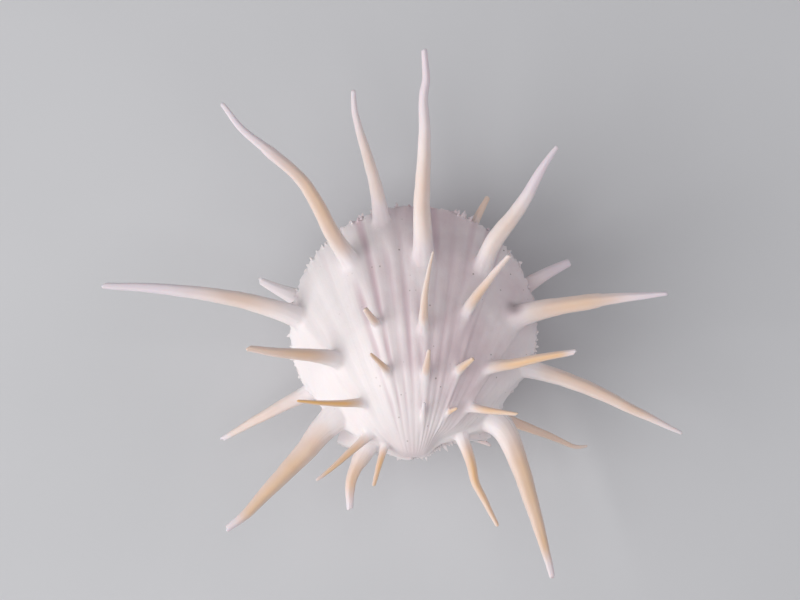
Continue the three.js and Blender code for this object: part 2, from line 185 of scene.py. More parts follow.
UPPER_SPINES = [
    # Round the front, from the left ear to the right one.
    spine(-56.5, 0.68, (7.3, 1.9), (-26.9, -25.4, 33), (-31.6, -31.2, 33.6), (-44.5, -44.9, 35),
          (-50.2, -51, 35.4), (-55.8, -55.3, 35.6),
          full=1.3, warm=0.6, end="blunt", pale_tip=0.8, pale_from=0.86),
    spine(-38.2, 0.92, (5.8, 1.8), (-38, 9.8, 32), (-50.3, 13.3, 34.6), (-71.3, 16.5, 38),
          (-92.9, 17.9, 40), warm=0.28, end="cut", pale_tip=1.0, pale_from=0.45),
    spine(-17, 0.86, (5.1, 1.4), (-23.6, 32.8, 41), (-32.2, 48.3, 45.5), (-43.8, 58.8, 49),
          (-50.6, 64.2, 50.5), (-56.8, 72.2, 52),
          full=1.4, warm=0.5, pale_tip=0.9, pale_from=0.5, sleeve=0.74),
    spine(-7.3, 0.955, (4.5, 1.4), (-10.8, 47, 30), (-13.9, 58.1, 33.5), (-17.2, 70, 36.8),
          (-17.6, 76.4, 38), warm=0.22, pale_tip=0.7, pale_from=0.6),
    spine(3.4, 0.8, (5.8, 1.7), (2.9, 41.7, 44.5), (3.7, 61.5, 49.5), (3.4, 75, 52.6),
          (4.2, 79.2, 53.8), (3.5, 88.4, 56), warm=0.26, end="blunt", pale_tip=0.8, pale_from=0.5),
    spine(19.8, 0.85, (5.3, 1.2), (24.8, 31.5, 40), (31, 39.5, 43), (35.2, 46.1, 45.4),
          (39.6, 54, 47.8), (43.4, 59.4, 49), full=2.0, warm=0.24, end="blunt", pale_tip=1.0, pale_from=0.5),
    spine(35.2, 0.84, (6.3, 1.1), (37.2, 10.2, 36), (49.9, 12.5, 39.3), (59.6, 13.8, 41),
          (76.4, 15.4, 44), full=1.3, warm=0.5, pale_tip=1.0, pale_from=0.6, sleeve=0.67),
    spine(50.3, 0.9, (4.9, 1.0), (40.5, -8.6, 28.8), (51.3, -12.3, 29.6), (66, -19.3, 30.4),
          (81, -26.5, 31), full=1.8, warm=0.36, pale_tip=0.6, pale_from=0.75),
    spine(63, 0.85, (6.8, 1.6), (27, -24.6, 30), (30.4, -31.1, 30.6), (36.8, -50.4, 32.4),
          (42.2, -69.9, 33.8), full=1.3, warm=0.6, end="blunt", pale_tip=0.8, pale_from=0.85),

    # Middle of the dome.
    spine(-33, 0.63, (4.6, 1.8), (-28.5, -3.2, 46), (-39.6, -2.3, 51), (-49.6, -0.8, 54.5),
          warm=0.58, end="cut", pale_tip=0.2),
    spine(-31.6, 0.42, (2.6, 0.8), (-22.9, -17.4, 48), (-34.4, -16.6, 53), warm=0.95, pale_tip=0.0),
    spine(-12.9, 0.63, (2.6, 1.6), (-12.1, 8.2, 51), (-14.2, 11.1, 54.5), warm=0.5, end="blunt", pale_tip=0.1),
    spine(-11.8, 0.46, (2.4, 1.0), (-9.6, -5.2, 54), (-12.5, -2.5, 58), warm=0.64, pale_tip=0.0),
    spine(4.4, 0.59, (3.0, 0.6), (3.5, 11, 55), (4.2, 18, 62.5), (6.2, 28, 71), warm=0.4, pale_tip=0.1),
    spine(6.9, 0.44, (2.7, 1.1), (4.5, -5.1, 55.5), (5.1, -1.3, 61), warm=0.5, pale_tip=0.1),
    spine(8.9, 0.28, (1.7, 0.9), (3.6, -17, 49.5), warm=0.0),
    spine(18.7, 0.69, (3.4, 1.5), (19.2, 14.8, 50), (24.2, 21.1, 57), (29.1, 27, 62),
          warm=0.55, end="blunt", pale_tip=0.4),
    spine(22.4, 0.5, (2.9, 1.2), (15.6, -6, 50), (18.4, -3.8, 54), warm=0.7, end="blunt", pale_tip=0.1),
    spine(26.9, 0.34, (1.5, 0.8), (13.5, -18.7, 46), warm=0.75, pale_tip=0.1),
    spine(35.3, 0.61, (3.6, 1.6), (29.8, -5.6, 45), (37.9, -3.9, 48.5), (49.2, -1.8, 52),
          warm=0.74, end="cut", pale_tip=0.7, pale_from=0.85),
    spine(39.4, 0.45, (2.6, 1.0), (24.5, -19.8, 44.5), (31.8, -20.5, 48), warm=0.7, end="cut", pale_tip=0.1),

    # Flanks of the beak.
    spine(-48.6, 0.34, (2.8, 0.9), (-18.8, -32.2, 38.5), (-23.4, -36.4, 40), (-28.7, -40.5, 41),
          warm=0.7, pale_tip=0.5, pale_from=0.85),
    spine(-71.5, 0.56, (4.6, 1.9), (-16.2, -35.6, 29), (-18.2, -40.5, 28.8), (-18.6, -49.6, 28),
          full=1.3, warm=0.52, end="blunt", pale_tip=0.8, pale_from=0.75, sleeve=0.56),
    spine(-50, 0.22, (2.3, 1.1), (-9.4, -34.2, 35), (-11.5, -42.3, 36.5), warm=0.9, end="blunt", pale_tip=0.2),
    spine(65.6, 0.55, (3.6, 1.2), (17.6, -35, 32.5), (18.7, -40.6, 33.5), (21.8, -46.6, 34.6),
          (25.7, -54.3, 36), warm=0.8, pale_tip=0.2),
]

LOWER_SPINES = [
    # Round the front, seen past the edge of the upper valve.
    spine(-54.3, 0.86, (4.6, 1.3), (-40.6, -19.2, 20), (-57.7, -28.7, 15),
          warm=0.5, end="cut", pale_tip=0.9, pale_from=0.88),
    spine(-35, 0.95, (4.8, 1.6), (-40.1, 16.6, 20.5), (-46.4, 19.7, 18.5), warm=0.05, end="cut"),
    spine(14.6, 0.96, (2.7, 1.5), (20.6, 40.2, 22), (23, 44.5, 21), warm=0.75, end="blunt", pale_tip=0.0),
    spine(33, 0.95, (4.4, 2.4), (41, 21.7, 20.5), (47.4, 24.8, 18.5), warm=0.22, end="open", pale_tip=1.0),
    spine(59, 0.84, (3.6, 0.8), (40.5, -27.1, 19.5), (46, -29.4, 18), (48.8, -30.6, 17.2),
          (50.5, -30.75, 16.8), (52.8, -30.4, 16.3), warm=0.85, pale_tip=0.2, pale_from=0.8),
    spine(76, 0.8, (1.8, 0.9), (23.8, -30.3, 21.5), warm=0.9),

    # Underside, short of the margin and clear of the surface that the shell lies on.
    spine(-45, 0.74, (3.4, 1.2), (-31, 1, 7), (-35, 2, 4)),
    spine(-22, 0.78, (3.6, 1.2), (-19, 23, 5.5), (-23, 31, 3.2)),
    spine(1, 0.76, (3.8, 1.2), (0.8, 29, 4.4), (1.4, 38, 2.6)),
    spine(23, 0.78, (3.6, 1.2), (20, 23, 5.5), (24, 30.5, 3.2)),
    spine(44, 0.74, (3.4, 1.2), (31, 1.5, 7), (35, 3, 4)),
    spine(-50, 0.5, (2.8, 1.0), (-19.5, -18.5, 8.3), (-21.6, -17.6, 5.4), (-25, -19, 3)),
    spine(50, 0.5, (2.8, 1.0), (19.5, -18.5, 8.3), (21.6, -17.7, 5.4), (25, -19.5, 3)),
]


def clamp(value, low, high):
    return min(max(value, low), high)


def mix(a, b, share):
    return a + (b - a) * share


def smoothstep(value, low, high):
    share = clamp((value - low) / (high - low), 0.0, 1.0)
    return share * share * (3 - 2 * share)


def smooth_max(a, b, blend):
    near = max(blend - abs(a - b), 0.0) / blend
    return max(a, b) + near * near * blend * 0.25


def angle_off(angle, middle):
    """How far an angle is from another, the short way round."""
    return math.atan2(math.sin(angle - middle), math.cos(angle - middle))


class Valve:
    """One half of the shell: which way it domes, how full it is, its ribs and spines, and its fineness."""

    def __init__(self, side, fullness, fine_between, spines, columns, rows, inner_rows):
        self.side = side
        self.fullness = fullness
        self.spines = spines
        self.columns = columns
        self.rows = rows
        self.inner_rows = inner_rows
        self.ribs = ribs_of(fine_between)
        self.swells = [RootSwell(self, spine) for spine in spines]


def ribs_of(fine_between):
    """Every rib in order as (bearing, height): strong ones, fine ones between, and faint ones on the ears."""
    ribs = list(zip(STRONG_RIBS, STRONG_HEIGHTS))
    for left, right, height in zip(STRONG_RIBS, STRONG_RIBS[1:], FINE_HEIGHTS):
        for step in range(1, fine_between + 1):
            ribs.append((mix(left, right, step / (fine_between + 1)), height))
    for bearing in EAR_RIBS:
        ribs.append((bearing, EAR_RIB_HEIGHT))
        ribs.append((-bearing, EAR_RIB_HEIGHT))
    ribs.append((-90, 0.0))
    ribs.append((90, 0.0))
    return sorted(ribs)


def disc_reach(beak, disc, radius, bearing):
    """Distance from a beak to the far side of a disc, along a bearing."""
    angle = math.radians(bearing)
    offset = disc - beak
    along = offset.x * math.sin(angle) + offset.y * math.cos(angle)
    room = radius ** 2 - (offset.length_squared - along ** 2)
    return along + math.sqrt(room) if room > 0 else 0.0


def margin_reach(bearing):
    """Distance from the beak to the margin: the round disc, and an ear on each side of the hinge."""
    ear = RIGHT_EAR if bearing > 0 else LEFT_EAR
    begins, full, fades, ends = ear["bearings"]
    middle, breadth, depth = ear["notch"]
    aside = abs(bearing)
    lobe = ear["reach"] * smoothstep(aside, begins, full) * (1 - smoothstep(aside, fades, ends))
    disc = disc_reach(BEAK, DISC, DISC_RADIUS, bearing) - depth * math.exp(-((aside - middle) / breadth) ** 2)
    return max(BEAK_BACK, smooth_max(disc, lobe, EAR_BLEND))


def coil_point(beak, reach, rise, fullness, side, bearing, grown):
    """A point of a dome that coils up from its beak. grown is 0 at the beak and 1 at the margin."""
    angle = math.radians(bearing)
    turn = COIL_TURN * (1 - grown ** COIL_RATE)
    ahead = reach * math.cos(angle)
    bulge = max(ahead, 0.0) * grown * math.sin(turn) * fullness
    return Vector((
        beak.x + grown * reach * math.sin(angle),
        beak.y + grown * ahead * (math.cos(turn) if ahead > 0 else 1),
        SEAM_Z + side * (SEAM_GAP / 2 + rise * (1 - grown ** 2) + bulge),
    ))


def valve_point(valve, bearing, grown):
    """A point of the plain outside, without ribs."""
    reach = margin_reach(bearing)
    return lift_hinge(coil_point(BEAK, reach, BEAK_RISE, valve.fullness, valve.side, bearing, grown))


def hollow_point(valve, bearing, grown):
    """A point of the hollow, on the line that faces the margin at this bearing of the outside."""
    angle = math.radians(bearing)
    margin = BEAK + Vector((math.sin(angle), math.cos(angle), 0.0)) * margin_reach(bearing)
    facing = margin - HOLLOW_BEAK
    bearing = math.degrees(math.atan2(facing.x, facing.y))
    reach = disc_reach(HOLLOW_BEAK, HOLLOW_DISC, HOLLOW_RADIUS, bearing)
    fullness = valve.fullness * HOLLOW_SHARE
    return coil_point(HOLLOW_BEAK, reach, HOLLOW_RISE, fullness, valve.side, bearing, grown)


def rib_breadth(grown):
    """How broad the ribs are, as a share of their breadth at the margin."""
    return math.hypot(grown, BEAK_BREADTH) / math.hypot(1.0, BEAK_BREADTH)


def margin_rib(bearing, grown):
    """The bearing at the margin of the rib that passes here.

    Ribs swing to one side as they near the beak, and run side by side over its edge instead of meeting there.
    """
    bearing *= grown / rib_breadth(grown)
    rib = bearing
    for _ in range(4):
        away = clamp((rib - RIB_SWING_MIDDLE) / RIB_SWING_SPREAD, -1, 1)
        rib = bearing - RIB_SWING * math.cos(away * math.pi / 2) ** 2 * (1 - grown)
    return rib


def rib_relief(valve, bearing, grown):
    """How high the ribs stand here, and how clear of a furrow this is, from 0 in a deep one to 1."""
    wander = RIB_WANDER * noise.noise((bearing * 0.09, grown * 2.2, valve.side * 5.3))
    rib = clamp(margin_rib(bearing, grown) + wander, -89.9, 89.9)
    after = next(i for i, (place, _) in enumerate(valve.ribs) if place > rib)
    left, left_height = valve.ribs[after - 1]
    right, right_height = valve.ribs[after]
    share = (rib - left) / (right - left)
    crest = 0.5 + 0.5 * math.cos(2 * math.pi * share)
    uneven = 1 + RIB_UNEVENNESS * noise.noise((rib * 0.21, grown * 2.4, valve.side * 2.1))
    near_height = mix(left_height, right_height, share) * clamp(uneven, 0.15, 1.6)
    softer = mix(0.45, 1.0, smoothstep(rib, -50, -25)) * mix(0.3, 1.0, smoothstep(grown, 0.1, 0.6))
    clear = 1 - (1 - crest) * smoothstep(near_height, 0.0, 0.85) * softer
    rising = mix(0.03, 1.0, grown ** 1.3) * smoothstep(grown, 0.0, 0.1)
    level = rising * (1 - MARGIN_FADE * smoothstep(grown, 0.84, 1.0))
    return near_height * crest ** RIB_ROUNDNESS * level, clear


def lies_low(leaving, root, up_rib):
    """How nearly a spine runs on along its rib: 0 where it stands up from it, and 1 at a low angle."""
    return smoothstep(leaving.dot((root - up_rib).normalized()), 0.3, 0.8)


class RootSwell:
    """The swelling of a rib towards the root of a spine that leaves it."""

    def __init__(self, valve, spine):
        rib, grown = spine["rib"], spine["grown"]
        root = valve_point(valve, rib, grown)
        up_rib = valve_point(valve, rib, grown - GROWTH_STEP)
        beside = valve_point(valve, rib + SIDE_STEP, grown)
        leaving = (Vector(spine["path"][0]) - root).normalized()
        self.rib = margin_rib(rib, grown)
        self.grown = grown
        self.per_grown = (root - up_rib).length / GROWTH_STEP
        self.per_degree = (beside - root).length / (margin_rib(rib + SIDE_STEP, grown) - self.rib)
        thick = spine["thick"][0]
        self.height = SWELL_HEIGHT * thick
        self.width = SWELL_WIDTH * thick
        self.back = thick * mix(SWELL_BACK_STEEP, SWELL_BACK, lies_low(leaving, root, up_rib))
        self.front = thick * SWELL_FRONT

    def share(self, rib, grown):
        """How much of the swelling there is at a place, from 0 to 1."""
        along = (grown - self.grown) * self.per_grown
        if not -self.back < along < SWELL_CUTOFF * self.front:
            return 0.0
        across = (rib - self.rib) * self.per_degree * rib_breadth(grown) / rib_breadth(self.grown)
        if abs(across) > SWELL_CUTOFF * self.width:
            return 0.0
        rise = (1 + along / self.back) ** 1.6 if along < 0 else math.exp(-((along / self.front) ** 2))
        return rise * math.exp(-((across / self.width) ** 2)) * (1 - smoothstep(grown, 0.9, 1.0))


def skin_point(valve, bearing, grown):
    """A point of the outside, ribs and growth ripples included, and how near it is to a rib's crest.

    That is 0 in a furrow and 1 on a crest, and more on the ridge that leads into a spine.
    """
    point = valve_point(valve, bearing, grown)
    if abs(bearing) > 90:
        return keep_side(valve, point), 0.6
    height, crest = rib_relief(valve, bearing, grown)
    rib = margin_rib(bearing, grown)
    for swell in valve.swells:
        share = swell.share(rib, grown)
        height = mix(height, max(height, swell.height), share)
        crest = mix(crest, RIDGE_CREST, share)
    ripple = RIPPLE * noise.noise((grown * 34, bearing * 0.05, valve.side * 3.7)) * grown
    aside = abs(bearing)
    ear_fold = -EAR_FOLD * math.exp(-((aside - EAR_FOLD_BEARING) / EAR_SPREAD) ** 2) * grown ** 2
    ear_swell = EAR_SWELL * math.exp(-((aside - EAR_SWELL_BEARING) / EAR_SPREAD) ** 2) * grown ** 2
    ear_swell *= 1 - smoothstep(grown, 0.8, 1.0)
    outward = (point - HEART).normalized()
    point += outward * (height + ripple + ear_fold + ear_swell)
    edge = smoothstep(grown, 0.965, 1.0) * smoothstep(92 - aside, 0, 6)
    ragged = RAGGED_EDGE * (noise.noise((bearing * 2.3, valve.side * 4.1, 0.5)) + 0.2 * crest)
    point += Vector((outward.x, outward.y, 0.0)) * ragged * edge
    return keep_side(valve, point), crest


def lift_hinge(point):
    """Draws the hinge edge up beside the beak, and lets the skin above it follow."""
    ear = RIGHT_EAR if point.x > 0 else LEFT_EAR
    starts, full, falls, over = ear["climb"]
    aside = abs(point.x)
    lift = ear["lift"] * smoothstep(aside, starts, full) * (1 - smoothstep(aside, falls, over))
    above = point.y - (BEAK.y + HINGE_SLOPE * aside)
    point.y += lift * (1 - smoothstep(above, 0, HINGE_DEPTH))
    return point


def keep_side(valve, point):
    """Keeps a point on its valve's side of the seam and above the surface that the shell lies on."""
    if valve.side > 0:
        point.z = max(point.z, SEAM_Z + SEAM_GAP / 2)
    else:
        point.z = clamp(point.z, 0.0, SEAM_Z - SEAM_GAP / 2)
    return point


def column_bearings(columns):
    """Bearings of the mesh columns, evenly spaced along the margin from behind the beak round to it again."""
    marks = [-180 + step / 10 for step in range(3601)]
    lengths = [0.0]
    places = []
    for mark in marks:
        angle = math.radians(mark)
        places.append(Vector((math.sin(angle), math.cos(angle))) * margin_reach(mark))
    for before, after in zip(places, places[1:]):
        lengths.append(lengths[-1] + (after - before).length)
    bearings = []
    at = 0
    for column in range(columns):
        wanted = lengths[-1] * column / columns
        while lengths[at + 1] < wanted:
            at += 1
        share = (wanted - lengths[at]) / (lengths[at + 1] - lengths[at])
        bearings.append(mix(marks[at], marks[at + 1], share))
    return bearings


# What every vertex tells the finish, and the marks that only serve while the spines are drawn.
LOOKS = ("grown", "bearing", "rib", "warmth", "tip", "inside")
BUILD_MARKS = ("seat", "share", "near_root")


def press_valve(valve):
    """A ball pressed into a valve: its first rows become the outside, beak to margin, the rest the hollow."""
    mesh = bmesh.new()
    turns = valve.rows + valve.inner_rows + 1
    bmesh.ops.create_uvsphere(mesh, u_segments=valve.columns, v_segments=turns, radius=1)
    looks = {name: mesh.verts.layers.float.new(name) for name in LOOKS}
    mesh.faces.layers.int.new("prickle")
    bearings = column_bearings(valve.columns)
    for vert in mesh.verts:
        row = round(math.acos(clamp(vert.co.z, -1, 1)) / math.pi * turns)
        around = -valve.side * math.degrees(math.atan2(vert.co.y, vert.co.x))
        bearing = bearings[round((around + 180) / 360 * valve.columns) % valve.columns]
        if row <= valve.rows:
            share = row / valve.rows
            grown = share * (1 + ROW_CROWDING - ROW_CROWDING * share)
            vert.co, vert[looks["rib"]] = skin_point(valve, bearing, grown)
        else:
            grown = 1 - (row - valve.rows - 1) / valve.inner_rows
            vert.co = hollow_point(valve, bearing, grown)
            vert[looks["rib"]] = 1.0
            vert[looks["inside"]] = 1.0
        vert[looks["grown"]] = grown
        vert[looks["bearing"]] = bearing
    mesh.normal_update()
    return mesh, looks


def bend_through(points):
    """A smooth line through the points, as places a small step apart."""
    stops = [points[0] * 2 - points[1], *points, points[-1] * 2 - points[-2]]
    line = [points[0].copy()]
    for p0, p1, p2, p3 in zip(stops, stops[1:], stops[2:], stops[3:]):
        t1 = (p1 - p0).length ** 0.5
        t2 = t1 + (p2 - p1).length ** 0.5
        t3 = t2 + (p3 - p2).length ** 0.5
        steps = max(2, math.ceil((p2 - p1).length / STATION_STEP))
        for step in range(1, steps + 1):
            t = mix(t1, t2, step / steps)
            a1 = p0.lerp(p1, t / t1)
            a2 = p1.lerp(p2, (t - t1) / (t2 - t1))
            a3 = p2.lerp(p3, (t - t2) / (t3 - t2))
            b1 = a1.lerp(a2, t / t2)
            b2 = a2.lerp(a3, (t - t1) / (t3 - t1))
            line.append(b1.lerp(b2, (t - t1) / (t2 - t1)))
    return line


def ease(line):
    """Takes the sharpness out of a line's bends."""
    for _ in range(EASING):
        inner = [(a + b * 2 + c) / 4 for a, b, c in zip(line, line[1:], line[2:])]
        line = [line[0], *inner, line[-1]]
    return line


def trail_point(valve, rib, grown, leaving, lead):
    """The skin behind a spine's root, part way between up the rib and straight back from the spine."""
    root = valve_point(valve, rib, grown)
    step = GROWTH_STEP / 2
    aside = valve_point(valve, rib + SIDE_STEP, grown) - root
    onward = root - valve_point(valve, rib, grown - step)
    turn = leaving.dot(aside) / aside.length_squared * SIDE_STEP
    growth = leaving.dot(onward) / onward.length_squared * step
    back_growth = mix(growth, step / onward.length, 0.5)
    return valve_point(valve, rib - turn * lead * 0.5, clamp(grown - back_growth * lead, 0.02, 0.99))


class SpineLine:
    """The bent middle line of a spine, its thickness, and its own directions aside and upward."""

    def __init__(self, valve, spine, number):
        root_thick, tip_thick = spine["thick"]
        root = valve_point(valve, spine["rib"], spine["grown"])
        stops = [Vector(stop) for stop in spine["path"]]
        lead = root_thick * ROOT_LEAD
        leaving = (stops[0] - root).normalized()
        up_rib = valve_point(valve, spine["rib"], max(spine["grown"] - lead / RIB_LENGTH, 0.02))
        behind = trail_point(valve, spine["rib"], spine["grown"], leaving, lead)
        sunk = (root - leaving * lead * 0.6).lerp(behind, lies_low(leaving, root, up_rib))
        sunk += (HEART - root).normalized() * root_thick * ROOT_DEPTH
        self.places = ease(bend_through([sunk, root, *stops]))
        self.lengths = [0.0]
        for before, after in zip(self.places, self.places[1:]):
            self.lengths.append(self.lengths[-1] + (after - before).length)
        self.length = self.lengths[-1]
        self.root = root
        self.root_at = min(zip(self.places, self.lengths), key=lambda stop: (stop[0] - root).length)[1]
        self.stays_within = CLEAR_OF_MARGIN if spine["grown"] < NEAR_MARGIN else 1.0
        self.root_thick = root_thick
        self.tip_thick = tip_thick
        self.full = spine["full"]
        self.end = spine["end"]
        self.sleeve = spine["sleeve"]
        self.up = Vector((0, 0, valve.side))
        self.number = number

    def at(self, s):
        """The middle line's place at a length along it, and the directions aside and upward there."""
        s = clamp(s, 0.0, self.length)
        after = min(max(1, int(s / self.length * (len(self.places) - 1))), len(self.places) - 1)
        while after > 1 and self.lengths[after - 1] > s:
            after -= 1
        while after < len(self.places) - 1 and self.lengths[after] < s:
            after += 1
        span = self.lengths[after] - self.lengths[after - 1]
        place = self.places[after - 1].lerp(self.places[after], (s - self.lengths[after - 1]) / span)
        before = self.places[max(after - 3, 0)]
        beyond = self.places[min(after + 2, len(self.places) - 1)]
        forward = (beyond - before).normalized()
        aside = self.up.cross(forward).normalized()
        lift = forward.cross(aside)
        return place, aside, lift

    def radius(self, s):
        out = max(s - self.root_at, 0.0)
        flare = ROOT_FLARE * self.root_thick * math.exp(-out / self.root_thick)
        share = clamp(out / (self.length - self.root_at), 0.0, 1.0)
        radius = (mix(self.root_thick, self.tip_thick, share ** self.full) + flare) / 2
        if self.sleeve:
            step = s - self.sleeve * self.length
            radius += SLEEVE_STEP * smoothstep(step, -12.0, -1.0) * (1 - smoothstep(step, -0.3, 0.9))
        return radius

    def seat(self, point):
        """Where a point lies by the line: length along, angle round, and distance as if it were round."""
        reach = self.root_at + SEAT_SEARCH * self.root_thick
        near = [i for i, s in enumerate(self.lengths) if s < reach]
        closest = min(near, key=lambda i: (self.places[i] - point).length_squared)
        s = self.lengths[closest]
        place, aside, lift = self.at(s)
        offset = point - place
        across, above = offset.dot(aside), offset.dot(lift) / SPINE_FLATNESS
        return s, math.atan2(above, across), math.hypot(across, above)

    def section(self, s, angle):
        """The spine's radius round its section: lengthwise ridges, a gutter beneath and its tip's shape."""
        share = s / self.length
        radius = self.radius(s)
        clear = smoothstep(s - self.root_at, self.root_thick * 0.8, self.root_thick * 2.5)
        radius *= 1 + clear * RIDGE_DEPTH * math.cos(RIDGES * angle + self.number)
        radius *= 1 + clear * SPINE_LUMPS * noise.noise((s * 0.35, self.number * 3.3, math.cos(angle)))
        beneath = angle_off(angle, -math.pi / 2)
        radius *= 1 - clear * GUTTER * math.exp(-(beneath / GUTTER_BREADTH) ** 2)
        if self.end == "open":
            above = angle_off(angle, math.pi / 2)
            radius *= 1 - OPEN_DEPTH * smoothstep(share, 0.5, 0.9) * math.exp(-(above / OPEN_BREADTH) ** 2)
        return radius

    def tip_start(self, angle):
        """Where the spine ends on this side of its section. A broken end is cut across or notched."""
        if self.end == "cut":
            return self.length - self.tip_thick * 0.9 * (0.5 - 0.5 * math.sin(angle + 0.6))
        if self.end == "open":
            return self.length - self.tip_thick * 0.9 * max(0.0, math.sin(angle)) ** 2
        if self.end == "blunt":
            return self.length - self.tip_thick * 0.3 * (0.5 - 0.5 * math.cos(angle + self.number))
        return self.length

    def place(self, s, end, radius, angle):
        """A point of the spine's surface, drawn in where the tip rounds off."""
        rounding = self.tip_thick * (0.6 if self.end == "round" else 0.25)
        past = clamp((s - (end - rounding)) / rounding, 0.0, 1.0)
        power = 2 if self.end == "round" else 3
        drawn_in = max(1 - past ** power, 0.0) ** (1 / power)
        place, aside, lift = self.at(s)
        sway = SPINE_SWAY * smoothstep(s - self.root_at, self.root_thick, self.root_thick * 3)
        place += aside * sway * noise.noise((s * 0.16, self.number * 7.7, 0.0))
        place += lift * sway * noise.noise((s * 0.16, self.number * 7.7, 9.0))
        across = aside * math.cos(angle) + lift * math.sin(angle) * SPINE_FLATNESS
        return place + across * radius * max(drawn_in, 0.06)


def in_order(parts):
    """Parts of a mesh in the order of their making, so that each run goes the same way."""
    return sorted(parts, key=lambda part: part.index)


def face_neighbours(face):
    return [other for edge in face.edges for other in edge.link_faces if other is not face]


def root_faces(skin, line, taken):
    """The faces of the skin that a spine's root covers, as one patch with a plain outline."""
    reach = (ROOT_SEARCH * line.root_thick) ** 2
    covered = set()
    for face, centre, outermost in skin:
        if face in taken or outermost > line.stays_within or (centre - line.root).length_squared > reach:
            continue
        s, angle, distance = line.seat(centre)
        spread = mix(ROOT_SPREAD, ROOT_SPREAD_ABOVE, max(math.sin(angle), 0.0) ** 2)
        if s > 0 and distance < line.radius(s) * spread:
            covered.add(face)
    middle = min(covered, key=lambda face: (face.calc_center_median() - line.root).length_squared)
    patch, edge = {middle}, [middle]
    while edge:
        for other in face_neighbours(edge.pop()):
            if other in covered and other not in patch:
                patch.add(other)
                edge.append(other)
    for _ in range(6):
        around = {other for face in patch for other in face_neighbours(face)} - patch - taken
        patch |= {face for face in around if sum(other in patch for other in face_neighbours(face)) >= 3}
        spurs = {face for face in patch if sum(other in patch for other in face_neighbours(face)) <= 1}
        if len(patch) > 4:
            patch -= spurs
        for vert in in_order({vert for face in patch for vert in face.verts}):
            rim = [edge for edge in vert.link_edges if sum(face in patch for face in edge.link_faces) == 1]
            if len(rim) > 2:
                patch |= set(vert.link_faces) - taken
    return patch


def root_outline(patch):
    """The vertices round a patch in order, against the clock as seen from outside, and its outline's edges."""
    following, edges = {}, []
    for face in in_order(patch):
        for corner in face.loops:
            if sum(other in patch for other in corner.edge.link_faces) == 1:
                following[corner.vert] = corner.link_loop_next.vert
                edges.append(corner.edge)
    start = next(iter(following))
    outline = [start]
    while following[outline[-1]] is not start:
        outline.append(following[outline[-1]])
    if len(outline) != len(edges):
        raise ValueError("a spine's root has more than one outline")
    return outline, edges


def ring_share(share):
    """Where a ring lies along a spine: rings crowd together at the root and at the tip."""
    return 1 - max(1 - share + RING_CROWDING * math.sin(2 * math.pi * share), 0.0) ** 1.2


def grow_spine(mesh, looks, build, spine, line, patch):
    """Draws a spine out of the skin: the root patch opens, its outline is extruded, ringed and closed."""
    outline, edges = root_outline(patch)
    seats = [line.seat(vert.co) for vert in outline]
    count = len(outline)
    angles = [seats[0][1]]
    for _, angle, _ in seats[1:]:
        angles.append(angles[-1] + angle_off(angle, angles[-1]))
    offset = sum(angle - 2 * math.pi * i / count for i, angle in enumerate(angles)) / count
    bearing = spine["rib"]

    bmesh.ops.delete(mesh, geom=in_order(patch), context="FACES")
    for i, vert in enumerate(outline):
        vert[build["seat"]] = i
        vert[build["share"]] = 0.0
    drawn = bmesh.ops.extrude_edge_only(mesh, edges=edges)["geom"]
    ends = [part for part in drawn if isinstance(part, bmesh.types.BMVert)]
    tip_edges = [part for part in drawn if isinstance(part, bmesh.types.BMEdge)]
    for vert in ends:
        vert[build["share"]] = 1.0
    rooted = set(outline)
    sides = [edge for vert in ends for edge in vert.link_edges if edge.other_vert(vert) in rooted]
    rings = int(clamp(line.length / RING_STEP, FEWEST_RINGS, MOST_RINGS))
    cut = bmesh.ops.subdivide_edges(mesh, edges=sides, cuts=rings)["geom_inner"]
    ends = list({vert for edge in tip_edges for vert in edge.verts})
    cap = bmesh.ops.contextual_create(mesh, geom=tip_edges)["faces"]
    tip = bmesh.ops.poke(mesh, faces=cap)["verts"][0]

    rising = {part for part in cut if isinstance(part, bmesh.types.BMVert)} | set(ends)
    rooted = {edge.other_vert(vert) for vert in rising for edge in vert.link_edges} - rising - {tip}
    for vert in rising:
        i = round(vert[build["seat"]])
        start, _, distance = seats[i]
        share = ring_share(vert[build["share"]])
        end = line.tip_start(angles[i])
        s = mix(start, end, share)
        even = offset + 2 * math.pi * i / count
        angle = mix(angles[i], even, smoothstep(s - start, 0, line.root_thick * 1.2))
        proud = distance - line.section(start, angles[i])
        radius = line.section(s, angle) + proud * math.exp(-(s - start) / (line.root_thick * ROOT_FILLET))
        vert.co = line.place(s, end, radius, angle)
        colour_spine(vert, looks, spine, line, s, angle, bearing)
        vert[build["near_root"]] = 1.0 if s - start < line.root_thick * ROOT_FILLET else 0.0
    tip.co = sum((vert.co for vert in ends), Vector()) / count
    colour_spine(tip, looks, spine, line, line.length, math.pi / 2, bearing)
    around = set(rooted)
    for _ in range(2):
        around |= {edge.other_vert(vert) for vert in around for edge in vert.link_edges}
    for vert in around:
        vert[build["near_root"]] = 1.0


